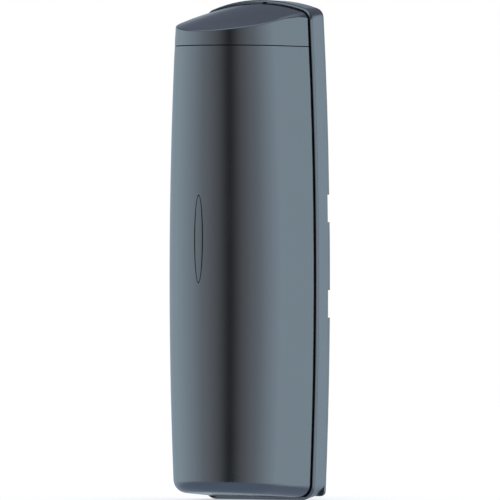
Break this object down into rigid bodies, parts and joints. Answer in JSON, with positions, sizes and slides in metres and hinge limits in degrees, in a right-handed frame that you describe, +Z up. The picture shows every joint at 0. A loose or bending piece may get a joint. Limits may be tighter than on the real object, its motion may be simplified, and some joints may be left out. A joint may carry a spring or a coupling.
{
  "type": "infrared beam detector",
  "caption": "Tall wall-mounted photoelectric beam detector: dark glossy rounded cover on a shallow base, with gimballed twin-lens units that pan and tilt inside.",
  "frame": {"origin": "on the wall plane, at mid-height and mid-width of the mounting plate", "axes": "+Z up, -Y out of the wall through the front of the cover, +X to the right of someone who looks at the front"},
  "size_m": [0.104, 0.102, 0.365],
  "materials": {
    "cover_plastic": "gloss",
    "chassis_plastic": "gloss",
    "plate_plastic": "satin",
    "gasket_rubber": "matte",
    "screw_steel": "zinc plated",
    "board_laminate": "satin",
    "terminal_plastic": "satin",
    "socket_plastic": "satin",
    "fascia_plastic": "satin",
    "pot_plastic": "satin",
    "dial_plastic": "satin",
    "lamp_plastic": "gloss",
    "jack_plastic": "satin",
    "bracket_plastic": "satin",
    "yoke_plastic": "satin",
    "lens_glass": "clear",
    "bezel_plastic": "satin",
    "sight_plastic": "satin",
    "element_plastic": "gloss",
    "gear_plastic": "satin",
    "lead_rubber": "matte"
  },
  "bodies": {
    "chassis": {"mounting_plate": "plate_plastic", "base_chassis": "chassis_plastic", "cover_gasket": "gasket_rubber", "cover": "cover_plastic", "top_cap": "cover_plastic", "wiring_grommet": "gasket_rubber", "cover_screw": "screw_steel", "chassis_screws": "screw_steel", "bracket_screws": "screw_steel", "board_screws": "screw_steel", "circuit_board": "board_laminate", "terminal_block": "terminal_plastic", "terminal_screws": "screw_steel", "lead_sockets": "socket_plastic", "control_fascia": "fascia_plastic", "response_pot": "pot_plastic", "channel_switch": "pot_plastic", "indicator_lamps": "lamp_plastic", "monitor_jack": "jack_plastic", "tamper_switch": "jack_plastic", "upper_bracket": "bracket_plastic", "upper_lead": "lead_rubber", "lower_bracket": "bracket_plastic", "lower_lead": "lead_rubber"},
    "upper_pan": {"upper_yoke": "yoke_plastic"},
    "upper_tilt": {"upper_lens_housing": "yoke_plastic", "upper_lens_pair": "lens_glass", "upper_lens_bezel": "bezel_plastic", "upper_sight": "sight_plastic", "upper_element_board": "board_laminate", "upper_elements": "element_plastic"},
    "upper_gear": {"upper_tilt_pinion": "gear_plastic", "upper_tilt_thumbwheel": "gear_plastic"},
    "lower_pan": {"lower_yoke": "yoke_plastic"},
    "lower_tilt": {"lower_lens_housing": "yoke_plastic", "lower_lens_pair": "lens_glass", "lower_lens_bezel": "bezel_plastic", "lower_sight": "sight_plastic", "lower_element_board": "board_laminate", "lower_elements": "element_plastic"},
    "lower_gear": {"lower_tilt_pinion": "gear_plastic", "lower_tilt_thumbwheel": "gear_plastic"},
    "response_dial": {"response_dial": "dial_plastic"},
    "channel_dial": {"channel_dial": "dial_plastic"},
    "tamper_plunger": {"tamper_plunger": "dial_plastic"}
  },
  "joints": [
    {"name": "upper_pan_turn", "type": "hinge", "parent": "chassis", "child": "upper_pan", "pos_m": [0, -0.054, 0.099], "axis": [0, 0, 1], "range_deg": [-90, 90]},
    {"name": "upper_tilt_turn", "type": "hinge", "parent": "upper_pan", "child": "upper_tilt", "pos_m": [0, -0.054, 0.099], "axis": [1, 0, 0], "range_deg": [-10, 10]},
    {"name": "upper_pinion_turn", "type": "hinge", "parent": "upper_pan", "child": "upper_gear", "pos_m": [0, -0.04394, 0.08158], "axis": [1, 0, 0], "range_deg": [-30, 30]},
    {"name": "lower_pan_turn", "type": "hinge", "parent": "chassis", "child": "lower_pan", "pos_m": [0, -0.054, -0.099], "axis": [0, 0, 1], "range_deg": [-90, 90]},
    {"name": "lower_tilt_turn", "type": "hinge", "parent": "lower_pan", "child": "lower_tilt", "pos_m": [0, -0.054, -0.099], "axis": [1, 0, 0], "range_deg": [-10, 10]},
    {"name": "lower_pinion_turn", "type": "hinge", "parent": "lower_pan", "child": "lower_gear", "pos_m": [0, -0.04394, -0.11642], "axis": [1, 0, 0], "range_deg": [-30, 30]},
    {"name": "response_dial_turn", "type": "hinge", "parent": "chassis", "child": "response_dial", "pos_m": [0.012, -0.0231, -0.0217], "axis": [0, 1, 0], "range_deg": [-135, 135]},
    {"name": "channel_dial_turn", "type": "hinge", "parent": "chassis", "child": "channel_dial", "pos_m": [0.012, -0.0231, 0.0021], "axis": [0, 1, 0], "range_deg": [-135, 135]},
    {"name": "tamper_plunger_slide", "type": "slide", "parent": "chassis", "child": "tamper_plunger", "axis": [0, 1, 0], "range_m": [0, 0.0015], "stiffness_N_per_m": 200, "springref_m": -0.001}
  ],
  "couplings": [
    {"joint": "upper_pinion_turn", "follows": "upper_tilt_turn", "ratio": -3},
    {"joint": "lower_pinion_turn", "follows": "lower_tilt_turn", "ratio": -3}
  ]
}
